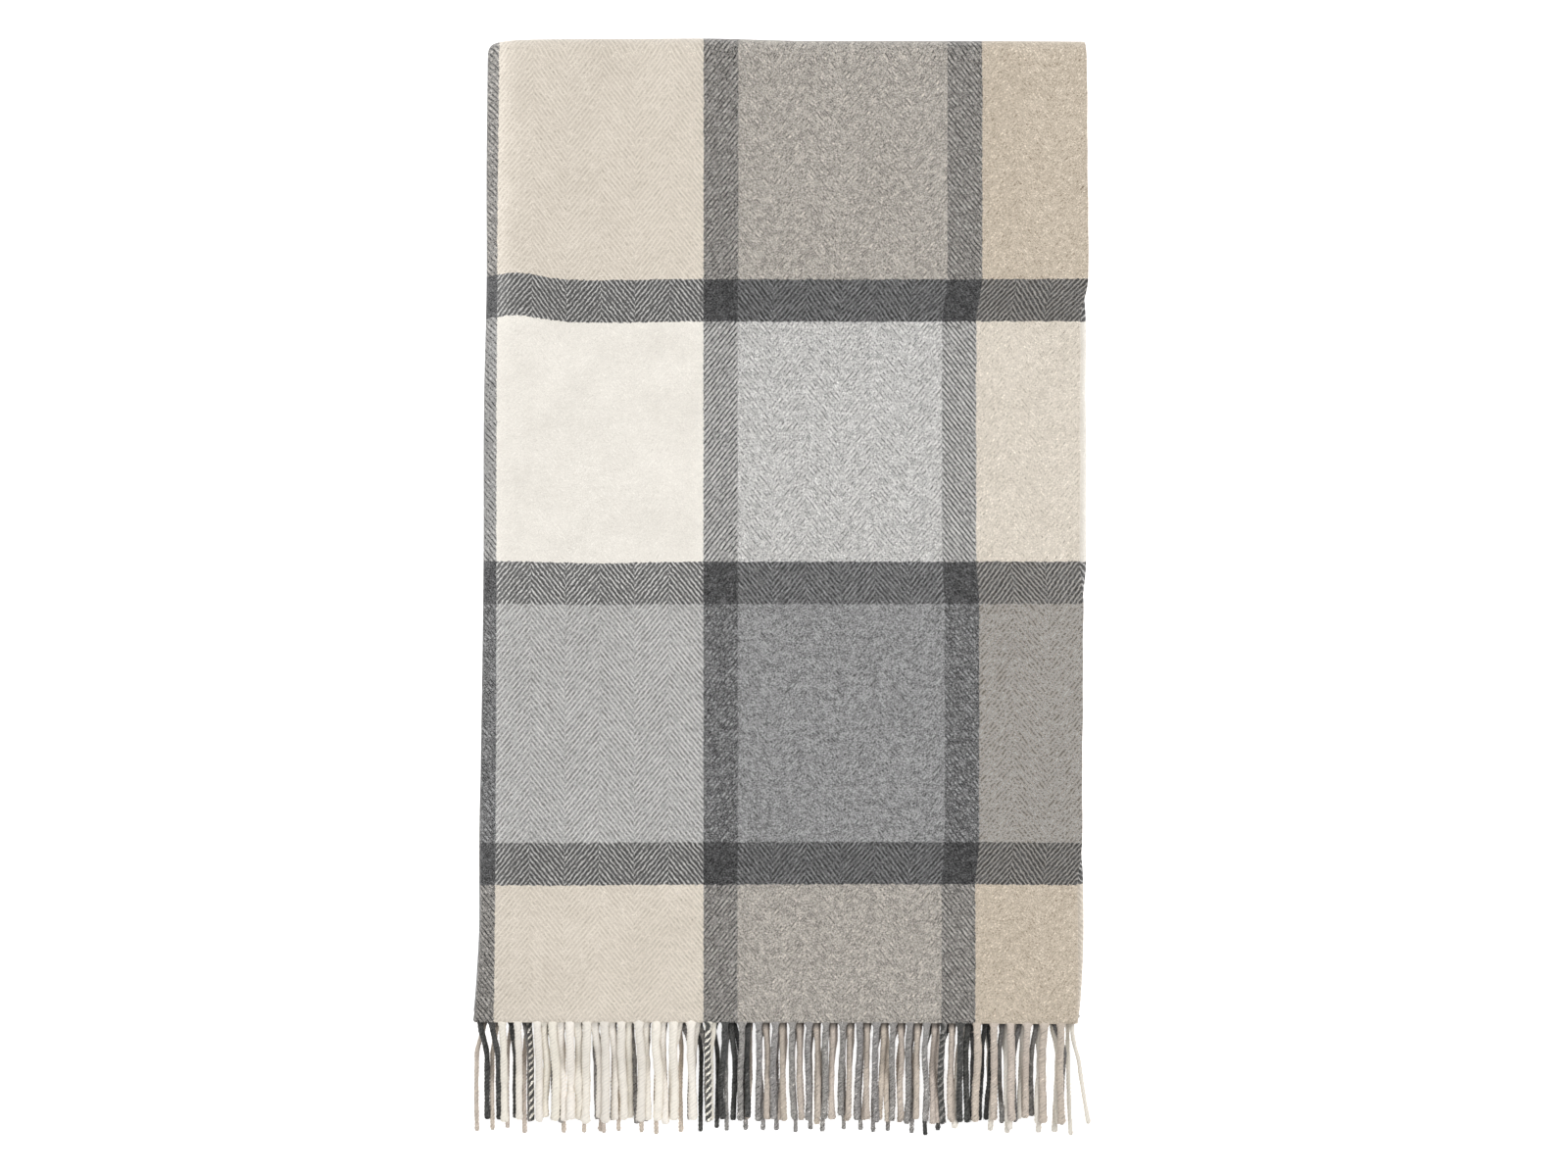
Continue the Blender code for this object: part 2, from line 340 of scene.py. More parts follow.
def fuzz(q, s, points, normals, index):
    """Loose fibres on the outside of a piece of cloth, where its outline shows. Returns their starts, their
    ways, and the grid points that they grow from."""
    rows, cols = index.shape
    chosen = []
    for count, q_low, q_high, s_low, s_high in FUZZ:
        i = np.searchsorted(s, rng.uniform(s_low, s_high, count)).clip(0, rows - 1)
        j = np.searchsorted(q, rng.uniform(q_low, q_high, count)).clip(0, cols - 1)
        chosen.append(index[i, j])
    chosen = np.concatenate(chosen)
    base = points.reshape(-1, 3)[chosen]
    out = normals.reshape(-1, 3)[chosen]
    ways = 0.55 * out + rng.normal(0, 0.55, out.shape)
    return base + out * THICK * 0.45, ways, chosen


def cloth_piece(name, q, s, round_edges, fuzzy=False):
    """A closed piece of cloth over a grid of q and s. round_edges names the grid sides that are real edges
    of the cloth: 'start' and 'end' along s, 'first' and 'last' along q. The others are cut square, where
    the next piece of the same cloth goes on."""
    points, weave = cloth_point(q[None, :], s[:, None])
    normals = surface_normals(points)
    rows, cols = points.shape[:2]
    upper = points + normals * THICK / 2
    lower = points - normals * THICK / 2
    vertices = [upper.reshape(-1, 3), lower.reshape(-1, 3)]
    coordinates = [weave.reshape(-1, 3), weave.reshape(-1, 3)]
    index = np.arange(rows * cols).reshape(rows, cols)
    below = index + rows * cols
    quads = [
        np.stack([index[:-1, :-1], index[:-1, 1:], index[1:, 1:], index[1:, :-1]], -1).reshape(-1, 4),
        np.stack([below[:-1, :-1], below[1:, :-1], below[1:, 1:], below[:-1, 1:]], -1).reshape(-1, 4),
    ]
    ring = np.concatenate([index[0, :-1], index[:-1, -1], index[-1, :0:-1], index[:0:-1, 0]])
    outward = np.zeros((rows, cols, 3))
    for side, edge, inside in (("start", 0, 1), ("end", -1, -2)):
        if side in round_edges:
            outward[edge] += points[edge] - points[inside]
    for side, edge, inside in (("first", 0, 1), ("last", -1, -2)):
        if side in round_edges:
            outward[:, edge] += points[:, edge] - points[:, inside]
    rim = (points + unit(outward) * THICK * 0.42).reshape(-1, 3)[ring]
    middle = 2 * rows * cols + np.arange(len(ring))
    vertices.append(rim)
    coordinates.append(weave.reshape(-1, 3)[ring])
    after = np.roll(np.arange(len(ring)), -1)
    quads.append(np.stack([ring, middle, middle[after], ring[after]], -1))
    quads.append(np.stack([middle, ring + rows * cols, ring[after] + rows * cols, middle[after]], -1))
    faces = np.concatenate(quads).tolist()
    if fuzzy:
        starts, ways, chosen = fuzz(q, s, points, normals, index)
        shortest, longest, radius, lowest = CLOTH_FIBRE
        lengths = rng.uniform(shortest, longest, len(starts))
        hairs, hair_faces = hair_mesh(starts, ways, lengths, radius, 2 * rows * cols + len(ring))
        hairs[:, 2] = np.maximum(hairs[:, 2], lowest)
        vertices.append(hairs)
        coordinates.append(np.repeat(weave.reshape(-1, 3)[chosen], HAIR_POINTS, axis=0))
        faces += hair_faces
    thing = new_object(name, np.concatenate(vertices), faces)
    set_vectors(thing.data, "weave", np.concatenate(coordinates))
    thing.data.set_sharp_from_angle(angle=math.radians(62))
    return thing


def steps(*runs):
    """Numbers from run to run: each run is a start, an end and how many steps it takes."""
    values = [np.linspace(a, b, n, endpoint=False) for a, b, n in runs]
    return np.append(np.concatenate(values), runs[-1][1])


# ---------- Materials ----------


class Tree:
    """Short ways to write a node tree."""

    def __init__(self, name):
        self.material = bpy.data.materials.new(name)
        self.material.use_nodes = True
        self.nodes = self.material.node_tree.nodes
        self.links = self.material.node_tree.links
        self.shader = self.nodes["Principled BSDF"]

    def plug(self, socket, value):
        if isinstance(value, bpy.types.NodeSocket):
            self.links.new(value, socket)
        else:
            socket.default_value = value

    def math(self, operation, a, b=0.0, c=0.0):
        node = self.nodes.new("ShaderNodeMath")
        node.operation = operation
        for socket, value in zip(node.inputs, (a, b, c)):
            self.plug(socket, value)
        return node.outputs[0]

    def times(self, a, b):
        return self.math("MULTIPLY", a, b)

    def times_plus(self, a, b, c):
        return self.math("MULTIPLY_ADD", a, b, c)

    def minus(self, a, b):
        return self.math("SUBTRACT", a, b)

    def vector(self, operation, a, b=None, scale=None):
        node = self.nodes.new("ShaderNodeVectorMath")
        node.operation = operation
        self.plug(node.inputs[0], a)
        if b is not None:
            self.plug(node.inputs[1], b)
        if scale is not None:
            self.plug(node.inputs["Scale"], scale)
        return node.outputs[0]

    def combine(self, x, y, z=0.0):
        node = self.nodes.new("ShaderNodeCombineXYZ")
        for socket, value in zip(node.inputs, (x, y, z)):
            self.plug(socket, value)
        return node.outputs[0]

    def grey(self, value):
        return self.combine(value, value, value)

    def attribute(self, name):
        node = self.nodes.new("ShaderNodeAttribute")
        node.attribute_name = name
        return node

    def split(self, vector):
        node = self.nodes.new("ShaderNodeSeparateXYZ")
        self.plug(node.inputs[0], vector)
        return node.outputs

    def noise(self, vector, scale, detail=2.0, roughness=0.5):
        node = self.nodes.new("ShaderNodeTexNoise")
        self.plug(node.inputs["Vector"], vector)
        node.inputs["Scale"].default_value = scale
        node.inputs["Detail"].default_value = detail
        node.inputs["Roughness"].default_value = roughness
        return node.outputs["Fac"]

    def noise_around_0(self, vector, scale, detail, roughness):
        return self.minus(self.noise(vector, scale, detail, roughness), 0.5)

    def mean(self, vector):
        node = self.nodes.new("ShaderNodeVectorMath")
        node.operation = "DOT_PRODUCT"
        self.plug(node.inputs[0], vector)
        node.inputs[1].default_value = (1 / 3, 1 / 3, 1 / 3)
        return node.outputs["Value"]

    def mix(self, factor, a, b):
        node = self.nodes.new("ShaderNodeMix")
        node.data_type = "VECTOR"
        self.plug(node.inputs["Factor"], factor)
        self.plug(node.inputs[4], a)
        self.plug(node.inputs[5], b)
        return node.outputs[1]

    def between(self, factor, a, b):
        return self.times_plus(factor, self.minus(b, a), a)

    def soft_step(self, value, low, high):
        node = self.nodes.new("ShaderNodeMapRange")
        node.interpolation_type = "SMOOTHSTEP"
        self.plug(node.inputs["Value"], value)
        node.inputs["From Min"].default_value = low
        node.inputs["From Max"].default_value = high
        return node.outputs["Result"]

    def bump(self, height, strength, distance):
        node = self.nodes.new("ShaderNodeBump")
        node.inputs["Strength"].default_value = strength
        node.inputs["Distance"].default_value = distance
        self.plug(node.inputs["Height"], height)
        return node.outputs["Normal"]

    def gamma(self, colour, power):
        node = self.nodes.new("ShaderNodeGamma")
        self.plug(node.inputs["Color"], colour)
        node.inputs["Gamma"].default_value = power
        return node.outputs[0]


# Yarn colours as the eye sees them (2.2 gamma), and how flecked each yarn is.
YARN = {
    "cream": ((0.938, 0.918, 0.882), 0.30),
    "grey": ((0.538, 0.538, 0.538), 4.20),
    "beige": ((0.762, 0.712, 0.644), 1.30),
    "charcoal": ((0.272, 0.272, 0.274), 6.80),
}
CYCLE = ("grey", "cream", "beige")  # the order of the panels after the first stripe, both ways
# Where the mean of a yarn's colour starts to count as dark or as cream, and where it fully does.
DARK = (0.50, 0.30)
CREAM = (0.84, 0.90)


def woollen(tree):
    tree.shader.inputs["Roughness"].default_value = 0.88
    tree.shader.inputs["Specular IOR Level"].default_value = 0.25
    tree.shader.inputs["Sheen Weight"].default_value = 0.30
    tree.shader.inputs["Sheen Roughness"].default_value = 0.40


def band_colour(tree, place, stripe_share):
    """The colour and fleck of the yarn at a place counted in periods from the end of the first stripe."""
    turn = tree.math("FLOOR", place)
    kind = tree.math("FLOORED_MODULO", turn, 3.0)
    stripe = tree.math("GREATER_THAN", tree.math("FRACT", place), 1 - stripe_share)
    colour, fleck = YARN[CYCLE[0]]
    for i in (1, 2):
        pick = tree.math("COMPARE", kind, float(i), 0.1)
        colour = tree.mix(pick, colour, YARN[CYCLE[i]][0])
        fleck = tree.between(pick, fleck, YARN[CYCLE[i]][1])
    dark, dark_fleck = YARN["charcoal"]
    colour = tree.mix(stripe, colour, dark)
    fleck = tree.between(stripe, fleck, dark_fleck)
    return colour, fleck


def soft_count(tree, number):
    """Counts yarns in steps that are softened, because each float lies across its neighbours at a slant."""
    return tree.times_plus(tree.math("FRACT", number), 0.8, tree.math("FLOOR", number))


def rounded(tree, number):
    """How round a yarn stands, from 0 at its edges to 1 along its middle."""
    side = tree.times_plus(tree.math("FRACT", number), 2.0, -1.0)
    return tree.minus(1.0, tree.times(side, side))


def cloth_material():
    """Two-two herringbone twill: warp colours across, weft colours along, flecked yarn and a soft nap."""
    tree = Tree("herringbone_wool")
    woollen(tree)
    u, v, at_fold = tree.split(tree.attribute("weave").outputs["Vector"])
    weave = tree.combine(u, v)
    column = tree.math("DIVIDE", u, COLUMN)
    # Colours change along a ragged line, because the yarns interlace there.
    ragged = tree.noise_around_0(weave, 560.0, 2.0, 0.7)
    ragged_u = tree.times_plus(ragged, 0.0022, u)
    ragged_v = tree.times_plus(ragged, 0.0028, v)
    warp_place = tree.math("DIVIDE", tree.minus(ragged_u, 4 * COLUMN), 7 * COLUMN)
    weft_place = tree.math("DIVIDE", tree.minus(ragged_v, WEFT_FIRST + WEFT_STRIPE), WEFT_PERIOD)
    warp, warp_fleck = band_colour(tree, warp_place, 1 / 7)
    weft, weft_fleck = band_colour(tree, weft_place, WEFT_STRIPE / WEFT_PERIOD)
    dark_weft = tree.soft_step(tree.mean(weft), *DARK)
    cream_weft = tree.soft_step(tree.mean(weft), *CREAM)

    # The twill lines, counted in yarns. They turn round at each column, and wobble as the yarns do.
    number = tree.math("FLOOR", column)
    odd = tree.math("FLOORED_MODULO", number, 2.0)
    sign = tree.times_plus(odd, -2.0, 1.0)
    wobble = tree.noise_around_0(weave, 330.0, 3.0, 0.7)
    uneven = tree.noise_around_0(weave, 90.0, 3.0, 0.8)
    end = tree.times(tree.math("FRACT", column), 4.0 * TWILL_PER_COLUMN)
    pick = tree.math("DIVIDE", v, TWILL_RISE / 4)
    line = tree.times_plus(soft_count(tree, end), sign, soft_count(tree, pick))
    line = tree.times_plus(odd, 2.0, line)
    line = tree.times_plus(wobble, tree.times_plus(dark_weft, 1.4, 2.7), line)
    line = tree.times_plus(uneven, 1.8, line)
    line = tree.math("FRACT", tree.math("DIVIDE", line, 4.0))
    wave = tree.math("ABSOLUTE", tree.times_plus(line, 2.0, -1.0))
    weft_up = tree.soft_step(wave, 0.18, 0.62)

    # Flecks: lighter and darker fibres, at every size from a yarn to a few centimetres.
    along_warp = tree.combine(tree.times(u, 1.3), tree.times(v, 0.75))
    along_weft = tree.combine(tree.times(u, 0.75), tree.times(v, 1.3), 0.4)
    place = tree.mix(weft_up, along_warp, along_weft)
    flecks = tree.noise_around_0(place, 215.0, 3.0, 1.0)
    fine = tree.noise(place, 1150.0, 1.0, 0.6)
    finest = tree.minus(fine, 0.5)
    change = tree.times_plus(finest, 0.72, tree.times(flecks, 1.06))
    cloud = tree.noise_around_0(weave, 30.0, 2.0, 0.6)

    # How much of the weft's colour shows at each point, between the warp's 0 and the weft's 1.
    apart = tree.vector("ABSOLUTE", tree.vector("SUBTRACT", warp, weft))
    contrast = tree.mean(apart)
    light_warp = tree.minus(tree.mean(warp), tree.mean(weft))
    dark_warp = tree.soft_step(tree.mean(warp), *DARK)
    # A light warp shows as clear lines in a darker weft, and clearest in the charcoal bands.
    swing = tree.times_plus(contrast, 0.55, 0.17)
    lighter = tree.soft_step(light_warp, 0.0, 0.10)
    swing = tree.between(lighter, swing, tree.times_plus(contrast, 0.80, 0.28))
    swing = tree.times_plus(dark_warp, 0.16, swing)
    swing = tree.between(dark_weft, swing, tree.times_plus(contrast, -0.64, 1.03))
    swing = tree.times(swing, tree.times_plus(uneven, 2.2, 1.08))
    # A cream weft is full and nearly hides how it crosses the beige warp and the raised nap by the fold.
    light_cross = tree.times(cream_weft, tree.soft_step(tree.mean(warp), 0.6, 0.7))
    calm = tree.times_plus(light_cross, -0.55, 1.0)
    calm = tree.times_plus(tree.times(cream_weft, at_fold), -0.5, calm)
    swing = tree.times(swing, calm)
    share = tree.times_plus(tree.minus(weft_up, 0.60), swing, 0.565)
    mixing = tree.times_plus(lighter, 1.8, tree.times_plus(dark_warp, -0.6, 2.6))
    mixing = tree.times(tree.between(dark_weft, mixing, 3.6), calm)
    share = tree.times_plus(change, mixing, share)
    share = tree.math("MINIMUM", tree.math("MAXIMUM", share, 0.06), 0.94)
    colour = tree.mix(share, warp, weft)
    # From thread to thread the light changes more than the hue.
    even = tree.mix(0.52, warp, weft)
    even = tree.vector("SCALE", even, scale=tree.math("DIVIDE", tree.mean(colour), tree.mean(even)))
    colour = tree.mix(0.7, colour, even)
    # The cream warp is lifted a little where it crosses beige and grey wefts.
    cream_warp = tree.soft_step(tree.mean(warp), *CREAM)
    cream_warp_lift = tree.times(cream_warp, tree.soft_step(tree.mean(weft), 0.3, 0.5))
    cream_warp_lift = tree.times(cream_warp_lift, tree.soft_step(tree.mean(weft), 0.90, 0.84))
    colour = tree.vector("ADD", colour, tree.vector("SCALE", (0.036, 0.036, 0.036), scale=cream_warp_lift))
    # Yarns of two colours darken each other and lose some of their hue.
    colour = tree.vector("SUBTRACT", colour, tree.vector("SCALE", apart, scale=0.115))
    middle = tree.mean(colour)
    blend = tree.times(tree.soft_step(contrast, 0.15, 0.45), 0.5)
    colour = tree.mix(blend, colour, tree.grey(middle))
    # The flecks and the cloud make the yarn lighter and darker, within limits. Dark yarn is flecked most.
    amount = tree.between(weft_up, warp_fleck, weft_fleck)
    shade = tree.times_plus(change, amount, 1.0)
    limit = tree.times_plus(tree.soft_step(tree.mean(colour), 0.60, 0.32), 0.38, 1.27)
    shade = tree.math("MINIMUM", tree.times_plus(cloud, 0.10, shade), limit)
    shade = tree.math("MAXIMUM", shade, 0.58)
    # The charcoal weft bands differ a little from each other: all are lifted a little, the middle one most.
    band_lift = tree.math("COSINE", tree.times(tree.minus(v, 0.254), 2 * math.pi / 0.33))
    band_lift = tree.times(tree.times_plus(band_lift, 0.045, 0.065), dark_weft)
    shade = tree.times(shade, tree.math("ADD", band_lift, 1.0))
    both_dark = tree.times_plus(dark_weft, -0.06, -0.03)
    shade = tree.times(shade, tree.times_plus(dark_warp, both_dark, 1.0))
    added = tree.times(tree.mean(colour), tree.minus(shade, 1.0))
    colour = tree.vector("ADD", colour, tree.grey(added))
    # The raised nap by the left fold is lighter, partly from its loose fibres and partly as a painted
    # highlight where the fold's edge catches the light, most of all near the top.
    upper = tree.soft_step(v, S_TOP - 0.20, S_TOP - 0.11)
    nap_and_painted_highlight = tree.times_plus(upper, 0.07, tree.times_plus(dark_weft, 0.035, 0.037))
    nap_and_painted_highlight = tree.times(nap_and_painted_highlight, tree.times(at_fold, tree.soft_step(v, 0.03, 0.10)))
    colour = tree.vector("ADD", colour, tree.grey(nap_and_painted_highlight))
    tree.plug(tree.shader.inputs["Base Color"], tree.gamma(colour, 2.2))

    # The relief: each float of yarn is rounded, and the nap lies over it.
    warp_round = rounded(tree, end)
    weft_round = rounded(tree, pick)
    height = tree.between(weft_up, warp_round, weft_round)
    ridge = tree.math("ABSOLUTE", tree.minus(wave, 0.40))
    height = tree.times_plus(ridge, 1.2, height)
    height = tree.times_plus(fine, 1.6, height)
    height = tree.times_plus(flecks, 3.0, height)
    tree.plug(tree.shader.inputs["Normal"], tree.bump(height, 0.40, 0.0004))
    tree.plug(tree.shader.inputs["Roughness"], tree.times_plus(fine, 0.12, 0.80))
    return tree.material


def tassel_material(name, fleck):
    """Twisted yarn. The colours come with the mesh, because some tassels have strands of two colours and a
    lower leaf's carry painted shade.
    """
    tree = Tree(name)
    woollen(tree)
    colour = tree.attribute("yarn").outputs["Vector"]
    place = tree.attribute("along").outputs["Vector"]
    _, _, painted_groove_shade = tree.split(place)
    flecks = tree.noise_around_0(place, 260.0, 3.0, 0.9)
    fine = tree.noise(place, 1300.0, 1.0, 0.6)
    change = tree.times_plus(tree.minus(fine, 0.5), 0.5, flecks)
    # Painted shade: the yarn is darkened in the grooves between its strands.
    shade = tree.times_plus(painted_groove_shade, -0.08, 1.05)
    shade = tree.math("MAXIMUM", tree.times_plus(change, 1.1 * fleck, shade), 0.5)
    tree.plug(tree.shader.inputs["Base Color"], tree.gamma(tree.vector("SCALE", colour, scale=shade), 2.2))
    height = tree.times_plus(flecks, 2.0, fine)
    tree.plug(tree.shader.inputs["Normal"], tree.bump(height, 0.4, 0.0004))
    tree.plug(tree.shader.inputs["Roughness"], tree.times_plus(fine, 0.12, 0.80))
    return tree.material


# ---------- Tassels ----------


def warp_yarn(u):
    """The name of the warp yarn at a width u across the cloth."""
    place = (u / COLUMN - 4) / 7
    if place - math.floor(place) > 1 - 1 / 7:
        return "charcoal"
    return CYCLE[math.floor(place) % 3]


class Pile:
    """How high the tassels already lie, over a patch of floor."""

    CELL = 0.0005

    def __init__(self, low, high, floor):
        self.low = np.array(low)
        shape = np.ceil((np.array(high) - self.low) / self.CELL).astype(int) + 1
        self.height = np.full(shape, floor)

    def cells(self, x, y, reach):
        n = int(math.ceil(reach / self.CELL))
        dx, dy = np.meshgrid(np.arange(-n, n + 1), np.arange(-n, n + 1), indexing="ij")
        inside = np.hypot(dx, dy) * self.CELL <= reach
        dx, dy = dx[inside], dy[inside]
        i = np.round((x - self.low[0]) / self.CELL).astype(int)[:, None] + dx
        j = np.round((y - self.low[1]) / self.CELL).astype(int)[:, None] + dy
        i = np.clip(i, 0, self.height.shape[0] - 1)
        j = np.clip(j, 0, self.height.shape[1] - 1)
        return i, j, np.hypot(dx, dy) * self.CELL

    def support(self, x, y, radius):
        """The lowest that the middle of a tassel of that radius can lie, clear of what lies there."""
        i, j, away = self.cells(x, y, radius)
        return (self.height[i, j] + np.sqrt(np.maximum(radius**2 - away**2, 0))).max(1)

    def add(self, x, y, z, radius):
        i, j, away = self.cells(x, y, radius)
        top = z[:, None] + np.sqrt(np.maximum(radius**2 - away**2, 0))
        np.maximum.at(self.height, (i, j), top)


def section(half_width, half_thick, turn):
    """Twelve points round a section of four strands, each three points wide."""
    angle = np.radians(np.arange(12) * 30.0) + turn[:, None]
    strand = np.tile([1.0, 0.86, 0.86], 4)
    return half_width[:, None] * strand * np.cos(angle), half_thick[:, None] * strand * np.sin(angle)


# Round a section: how much of a tassel's second colour each point has, and how deep it lies in a groove,
# where the tassel's colour is darkened as painted shade.
STRAND = np.tile([0, 0, 0.75, 1, 0.75, 0], 2)
GROOVE_SHADE = np.tile([0.0, 0.7, 0.7], 4)


def tassel_mesh(path, radius, root_width, phase, ring_step):
    """One twisted tassel along a path: flat where the warp leaves the cloth, then round and twisted."""
    legs = np.linalg.norm(np.diff(path, axis=0), axis=1)
    reach = np.concatenate([[0], np.cumsum(legs)])
    count = int(reach[-1] / ring_step)
    at = np.linspace(0, reach[-1], count)
    centre = np.stack([np.interp(at, reach, path[:, k]) for k in range(3)], 1)
    ahead = unit(np.gradient(centre, axis=0))
    side = unit(np.cross(ahead, [0, 0, 1.0]))
    up = np.cross(side, ahead)
    gathered = smooth(0.0005, 0.0060, at)
    end = reach[-1]
    tip = 1 + 0.10 * smooth(end - 0.006, end - 0.002, at) - 0.45 * smooth(end - 0.0013, end, at)
    lump = 1 + 0.05 * np.sin(at * 510 + phase) + 0.04 * np.sin(at * 230 + 2 * phase)
    half_width = (root_width / 2 * (1 - gathered) + radius * gathered) * tip * lump
    half_thick = (THICK * 0.44 * (1 - gathered) + radius * 0.74 * gathered) * tip * lump
    turn = phase * gathered - 2 * math.pi / TWIST * np.cumsum(gathered) * (at[1] - at[0])
    across_x, across_y = section(half_width, half_thick, turn)
    ring = centre[:, None] + across_x[..., None] * side[:, None] + across_y[..., None] * up[:, None]
    n = ring.shape[1]
    index = np.arange(count * n).reshape(count, n)
    right = np.roll(index, -1, axis=1)
    quads = np.stack([index[:-1], right[:-1], right[1:], index[1:]], -1).reshape(-1, 4)
    faces = quads.tolist() + [index[0, ::-1].tolist(), index[-1].tolist()]
    place = np.stack(
        [
            np.broadcast_to(at[:, None], (count, n)),
            np.broadcast_to(np.arange(n) * 0.0009 + phase, (count, n)),
            GROOVE_SHADE * gathered[:, None],
        ],
        -1,
    )
    return ring.reshape(-1, 3), faces, place.reshape(-1, 3)


def hair_mesh(starts, ways, lengths, radius, first_index):
    """Fine fibres, each a closed three-sided spike that bends once. Returns vertices and faces."""
    n = len(starts)
    ways = unit(ways)
    side = unit(np.cross(ways, [0.3, 0.2, 1.0]))
    other = np.cross(ways, side)
    bend = rng.normal(0, 0.35, (n, 3))
    middle = starts + ways * (lengths * 0.55)[:, None]
    tip = middle + (ways + bend) * (lengths * 0.5)[:, None]
    rings = []
    for centre, size in ((starts, 1.0), (middle, 0.75)):
        for k in range(3):
            angle = 2 * math.pi * k / 3
            rings.append(centre + radius * size * (math.cos(angle) * side + math.sin(angle) * other))
    vertices = np.stack([*rings, tip], 1).reshape(-1, 3)
    one = [(2, 1, 0), (0, 1, 4, 3), (1, 2, 5, 4), (2, 0, 3, 5), (3, 4, 6), (4, 5, 6), (5, 3, 6)]
    faces = [[first_index + HAIR_POINTS * i + k for k in face] for i in range(n) for face in one]
    return vertices, faces


def hairs_on(vertices, path):
    """Loose fibres that stand out of a tassel, more of them at its cut tip."""
    count = TASSEL_FIBRES
    at = np.concatenate([rng.uniform(0.08, 0.97, count), rng.uniform(0.97, 0.995, count // 2)])
    rings = len(vertices) // len(STRAND)
    pick = (at * (rings - 1)).astype(int) * len(STRAND) + rng.integers(0, len(STRAND), len(at))
    starts = vertices[pick]
    step = np.clip((at * (len(path) - 1)).astype(int), 1, len(path) - 2)
    ahead = unit(path[step + 1] - path[step - 1])
    centre = np.stack([np.interp(at, np.linspace(0, 1, len(path)), path[:, k]) for k in range(3)], 1)
    out = starts - centre
    out[:, 2] = np.abs(out[:, 2])
    out = unit(out)
    ways = out * 0.7 + ahead * rng.uniform(0.3, 1.2, (len(at), 1)) + rng.normal(0, 0.3, (len(at), 3))
    ways[:, 2] = np.maximum(ways[:, 2], -0.1)
    ways[count:] = ahead[count:] + rng.normal(0, 0.25, (len(at) - count, 3)) * [1, 1, 0.3]
    starts = starts - ways * 0.0002
    shortest, longest, radius, lowest = TASSEL_FIBRE
    lengths = rng.uniform(shortest, longest, len(at))
    hairs, faces = hair_mesh(starts, ways, lengths, radius, len(vertices))
    hairs[:, 2] = np.maximum(hairs[:, 2], lowest)
    return hairs, faces, np.repeat(pick, HAIR_POINTS)


def tassel_path(root, length, shift, lean, wander, pile, radius, drop, ceiling, way):
    """From the header straight out, then down onto whatever lies there, and along it to the tip."""
    t = np.linspace(0, 1, 64)
    out = t * length
    amplitude, waves, phase = wander
    x = root[0] + shift * smooth(0.001, 0.026, out) + lean * out * smooth(0.004, 0.03, out)
    x = x + amplitude * smooth(0.002, 0.016, out) * (np.sin(waves * out + phase) - math.sin(phase))
    y = root[1] + way * (out - 0.0018)
    support = pile.support(x, y, radius * 0.9)
    free = root[2] + (pile.height.min() + radius - root[2]) * smooth(0.001, drop, out)
    z = np.maximum(free, support)
    for _ in range(14):
        z[1:-1] = (z[:-2] + 2 * z[1:-1] + z[2:]) / 4
        z[3:] = np.maximum(z[3:], support[3:])
    keep = 1 - smooth(0.001, 0.006, out)
    z = root[2] * keep + z * (1 - keep)
    z = np.minimum(z, ceiling - radius)
    pile.add(x, y, z, radius * 0.9)
    return np.stack([x, y, z], 1)


def tassel_roots(s):
    """Where each tassel of the end at length s leaves the cloth: leaf, width, place across and point."""
    q = np.linspace(0, 7, 2801)
    _, _, used = across(q, np.full_like(q, float(along(np.asarray(s, float)))))
    roots = []
    for i in range(int((used[-1] - 2 * TASSEL_FIRST + TASSEL_PITCH) / TASSEL_PITCH)):
        u = TASSEL_FIRST + i * TASSEL_PITCH
        place = float(np.interp(u, used, q))
        turned = int(place + (0.1, 0.2, 0.1, 0.5, 0.1, 0.5, 0.1)[min(int(place), 6)])
        leaf = {0: 1, 1: 1, 2: 4, 3: 4, 4: 3, 5: 3, 6: 2}[min(turned, 6)]
        roots.append((leaf, u, place, cloth_point(place, s)[0]))
    return roots


# For hang_front: where the top leaf's cream and grey tassels end, in columns from the left folds, the place
# of the last tassel, and a number that makes every other place odd.
CREAM_END, GREY_END = 6.75, 13.9
LAST_PLACE = 6.95
ALTERNATE = 61


def hang_front(leaf, place, x, own):
    """How far along the pitch a tassel of a lower leaf moves, from the nearest tassel of the top leaf on.
    Under cream, grey and beige ones they come to lie in different ways."""
    columns = (x - X_LEFT) / COLUMN
    if columns < CREAM_END - 1.2:
        close = smooth(3.2, 4.4, columns)
        hidden = 0.03 if int(place * ALTERNATE) % 2 else 0.32
        wish = {2: 0.50 - 0.14 * close, 3: hidden + 0.26 * close, 4: 0.76 + 0.20 * close}[leaf]
    elif columns < CREAM_END:
        wish = {2: 0.0, 3: 0.02, 4: 0.5}[leaf]
    elif columns < GREY_END:
        wish = {2: 0.42, 3: 0.48 if columns > CREAM_END + 0.55 else 0.0, 4: 0.04}[leaf]
    elif place > LAST_PLACE:
        return 0.78  # the last one, by the inner selvedge, lies beyond the last tassel of the top leaf
    else:
        wish = {2: 0.31, 3: 0.80, 4: 0.90}[leaf]
    return (wish + rng.normal(0, 0.05) - own + 0.5) % 1 - 0.5


def hang_tucked(leaf, place, x, own):
    return (0.25 * leaf + rng.normal(0, 0.05) - own + 0.5) % 1 - 0.5


def left_end_tassels(roots):
    """The rows of LEFT_END, by the width across the cloth of the tassels that they are for."""
    placed = {}
    for leaf, places in LEFT_END.items():
        from_fold = sorted((entry for entry in roots if entry[0] == leaf), key=lambda entry: entry[3][0])
        placed.update({entry[1]: ends for entry, ends in zip(from_fold, places)})
    return placed


